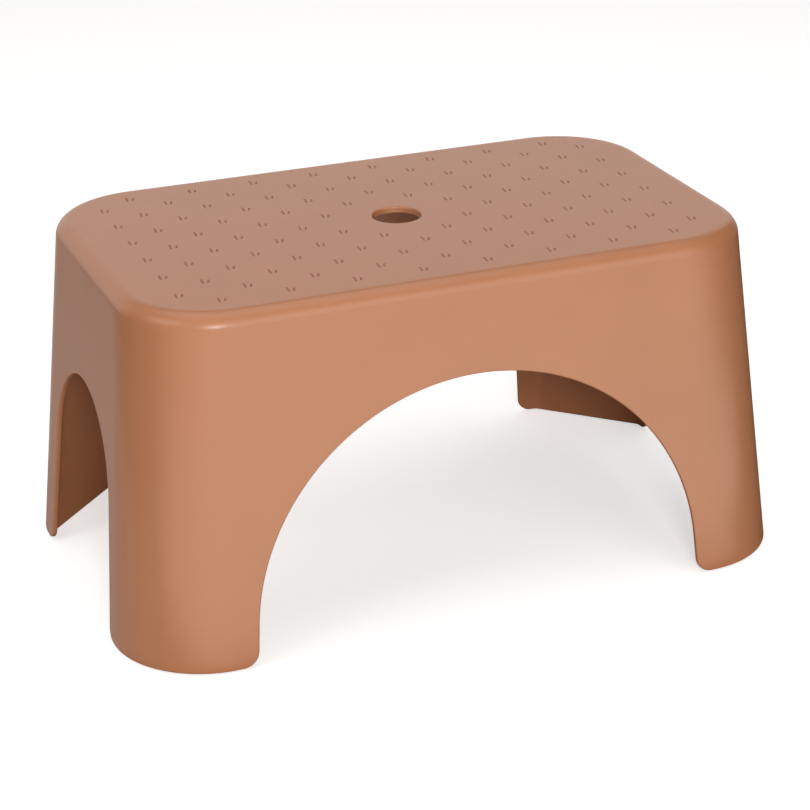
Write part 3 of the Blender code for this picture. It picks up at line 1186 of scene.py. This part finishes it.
@dataclass
class Studio:
    """A pale floor, soft light and the photograph's camera."""

    # The camera's place, in metres, and its turn, in degrees, fitted to the stool's own edges
    camera_place: tuple[float, float, float] = (-0.46685, -1.21230, 0.64795)
    camera_turn: tuple[float, float, float] = (66.3502, 0.2269, -23.3737)
    lens: float = 106.24
    sensor: float = 36.0
    shift: float = -0.09877
    floor_size: tuple[float, float] = (24.0, 24.0)
    floor_colour: str = "#E4E2DF"
    # What the floor adds where the camera, gloss or glass sees it, so that it looks white
    floor_white: float = 0.58
    soft_light: float = 0.10
    # Where the lamps aim
    target: tuple[float, float, float] = (0.0, 0.0, 0.1)
    lamps: tuple[Lamp, ...] = (
        Lamp("key", (-0.65, -2.32, 1.06), 0.42, 25.0),
        Lamp("front", (0.62, -1.98, 0.92), 1.5, 12.5),
        Lamp("left", (-1.90, -0.51, 1.48), 1.2, 11.0),
        Lamp("over", (0.0, 0.2, 2.40), 2.4, 28.0),
    )
    # The floor's cards lie a hair above it
    cards: tuple[Card, ...] = (
        Card("left", (-2.2, 0.3, 1.0), (2.4, 2.0), (1, 0, 0)),
        Card("right", (1.9, 0.1, 1.0), (2.6, 2.0), (-1, 0, 0)),
        Card("over", (0.0, 0.9, 2.6), (5.0, 4.4), (0, 0, -1)),
        Card("floor_left", (-1.25, 0.30, 0.0004), (2.1, 1.8), (0, 0, 1)),
        Card("floor_right", (1.25, 0.05, 0.0004), (2.1, 1.3), (0, 0, 1)),
        # A black card where the stool's shadow falls, so that gloss sees a painted shadow under the stool
        Card("painted_shadow_under_stool", (0.0, 0.025, 0.0005), (0.40, 0.33), (0, 0, 1)),
        Card("floor_behind_left", (-0.34, 0.54, 0.0006), (0.28, 1.32), (0, 0, 1), 0.5),
        Card("floor_front", (-0.03, -0.88, 0.0006), (1.16, 1.40), (0, 0, 1), 2.0),
    )

    def build(self) -> None:
        """Makes the floor, the lamps, the cards, the world and the camera."""
        self._floor()
        self._world()
        self._lamps()
        self._cards()
        self._camera()

    @staticmethod
    def _aim(holder: Object, aim: Vector) -> None:
        """Turns an object so that its local -Z points along a direction."""
        holder.rotation_euler = aim.to_track_quat("-Z", "Y").to_euler()

    @staticmethod
    def _sheet(name: str, size: tuple[float, float], material: Material) -> Object:
        """Adds a flat sheet round the origin, for the floor or a card.

        Args:
            name: its name.
            size: its whole lengths along X and Y.
            material: its material.

        Returns:
            The sheet.
        """
        bm = bmesh.new()
        scale = Matrix.Diagonal((size[0] / 2, size[1] / 2, 1, 1))
        bmesh.ops.create_grid(bm, x_segments=1, y_segments=1, size=1, matrix=scale)
        sheet = as_object(bm, name, [material])
        return sheet

    def _floor(self) -> None:
        """A broad floor that the camera sees as white, with the stool's shadow on it."""
        material = bpy.data.materials.new("pale_floor")
        tree = empty_tree(material)
        matt = add_node(tree, "BsdfDiffuse", {"Color": linear(self.floor_colour)})
        white = add_node(tree, "Emission", {"Color": WHITE, "Strength": self.floor_white})
        none = add_node(tree, "Emission", {"Color": (0, 0, 0, 1), "Strength": 0.0})
        glow = self._where_seen(tree, none, white)
        both = add_node(tree, "AddShader", links={0: matt.outputs[0], 1: glow})
        add_node(tree, "OutputMaterial", links={"Surface": both.outputs[0]})
        self._sheet("studio_floor", self.floor_size, material)

    @staticmethod
    def _where_seen(tree: NodeTree, unseen: Node, seen: Node) -> NodeSocket:
        """Changes from one shader to another where the camera, gloss or glass looks.

        Args:
            tree: the node tree.
            unseen: the shader that only lights the stool.
            seen: the shader that the camera, gloss and glass see.

        Returns:
            The socket of the mix.
        """
        path = add_node(tree, "LightPath")
        looks = path.outputs["Is Camera Ray"]
        for ray in ("Is Glossy Ray", "Is Transmission Ray"):
            either = add_node(tree, "Math", {"operation": "MAXIMUM"}, {0: looks, 1: path.outputs[ray]})
            looks = either.outputs[0]
        mixed = add_node(tree, "MixShader", links={0: looks, 1: unseen.outputs[0], 2: seen.outputs[0]})
        return mixed.outputs[0]

    def _world(self) -> None:
        """A white room to look at, with only a little even light of its own."""
        world = bpy.data.worlds.new("studio")
        bpy.context.scene.world = world
        tree = empty_tree(world)
        soft = add_node(tree, "Background", {"Color": WHITE, "Strength": self.soft_light})
        white = add_node(tree, "Background", {"Color": WHITE, "Strength": 1.0})
        add_node(tree, "OutputWorld", links={"Surface": self._where_seen(tree, soft, white)})

    def _lamps(self) -> None:
        """The lamps, each aimed at the stool."""
        for lamp in self.lamps:
            data = bpy.data.lights.new(lamp.name, "AREA")
            data.size = lamp.size
            data.energy = lamp.power
            holder = add_object(lamp.name, data)
            holder.location = lamp.place
            self._aim(holder, Vector(self.target) - Vector(lamp.place))

    def _cards(self) -> None:
        """The cards, hidden from the camera and from every ray but those of gloss."""
        for card in self.cards:
            material = bpy.data.materials.new("card_" + card.name)
            tree = empty_tree(material)
            face = add_node(tree, "Emission", {"Color": WHITE, "Strength": card.glow})
            add_node(tree, "OutputMaterial", links={"Surface": face.outputs[0]})
            sheet = self._sheet("card_" + card.name, card.size, material)
            sheet.location = card.place
            self._aim(sheet, -Vector(card.facing))
            sheet.visible_camera = False
            sheet.visible_diffuse = False
            sheet.visible_transmission = False
            sheet.visible_shadow = False

    def _camera(self) -> None:
        """The camera at the photograph's place, for a square picture."""
        data = bpy.data.cameras.new("camera")
        data.lens = self.lens
        data.sensor_width = self.sensor
        data.shift_x = self.shift
        data.dof.use_dof = False
        camera = add_object("camera", data)
        camera.location = self.camera_place
        camera.rotation_euler = [math.radians(a) for a in self.camera_turn]
        bpy.context.scene.camera = camera


def main() -> None:
    """Builds the moulding, dresses the pads and sets up the studio."""
    logging.basicConfig(level=logging.INFO, format="%(name)s: %(message)s")
    bpy.context.scene.view_settings.view_transform = "Standard"
    form = StoolForm()
    long_arch = Arch(
        foot_half=133.85 * MM, flare=1.5 * MM, rise=129.7 * MM, centre_height=13.7 * MM, foot_radius=9.2 * MM
    )
    end_arch = Arch(
        foot_half=64.7 * MM, flare=8.2 * MM, rise=55.4 * MM, centre_height=72.0 * MM, foot_radius=7.5 * MM
    )
    # The tool is rougher in the grooves, which leaves them duller; their darker, less orange colour is
    # painted shade
    grooves = MouldedPolypropylene("polypropylene_dulled_with_painted_shade_in_grooves", "#A7715D", "#A06B58", roughness=0.5)
    shell = MouldedShell(form, MouldedPolypropylene(), grooves, long_arch, end_arch).build()
    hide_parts("moulded_shell")
    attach(shell, "root")
    LOG.info("moulding: %d faces", len(shell.data.polygons))
    rubber = SoftRubber().material()
    for leg in Leg:
        pad = FootPad(form, leg, rubber).build()
        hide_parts(leg.pad_node)
        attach(pad, "root")
        LOG.info("%s: %d faces", pad.name, len(pad.data.polygons))
    Studio().build()


if __name__ == "__main__":
    main()
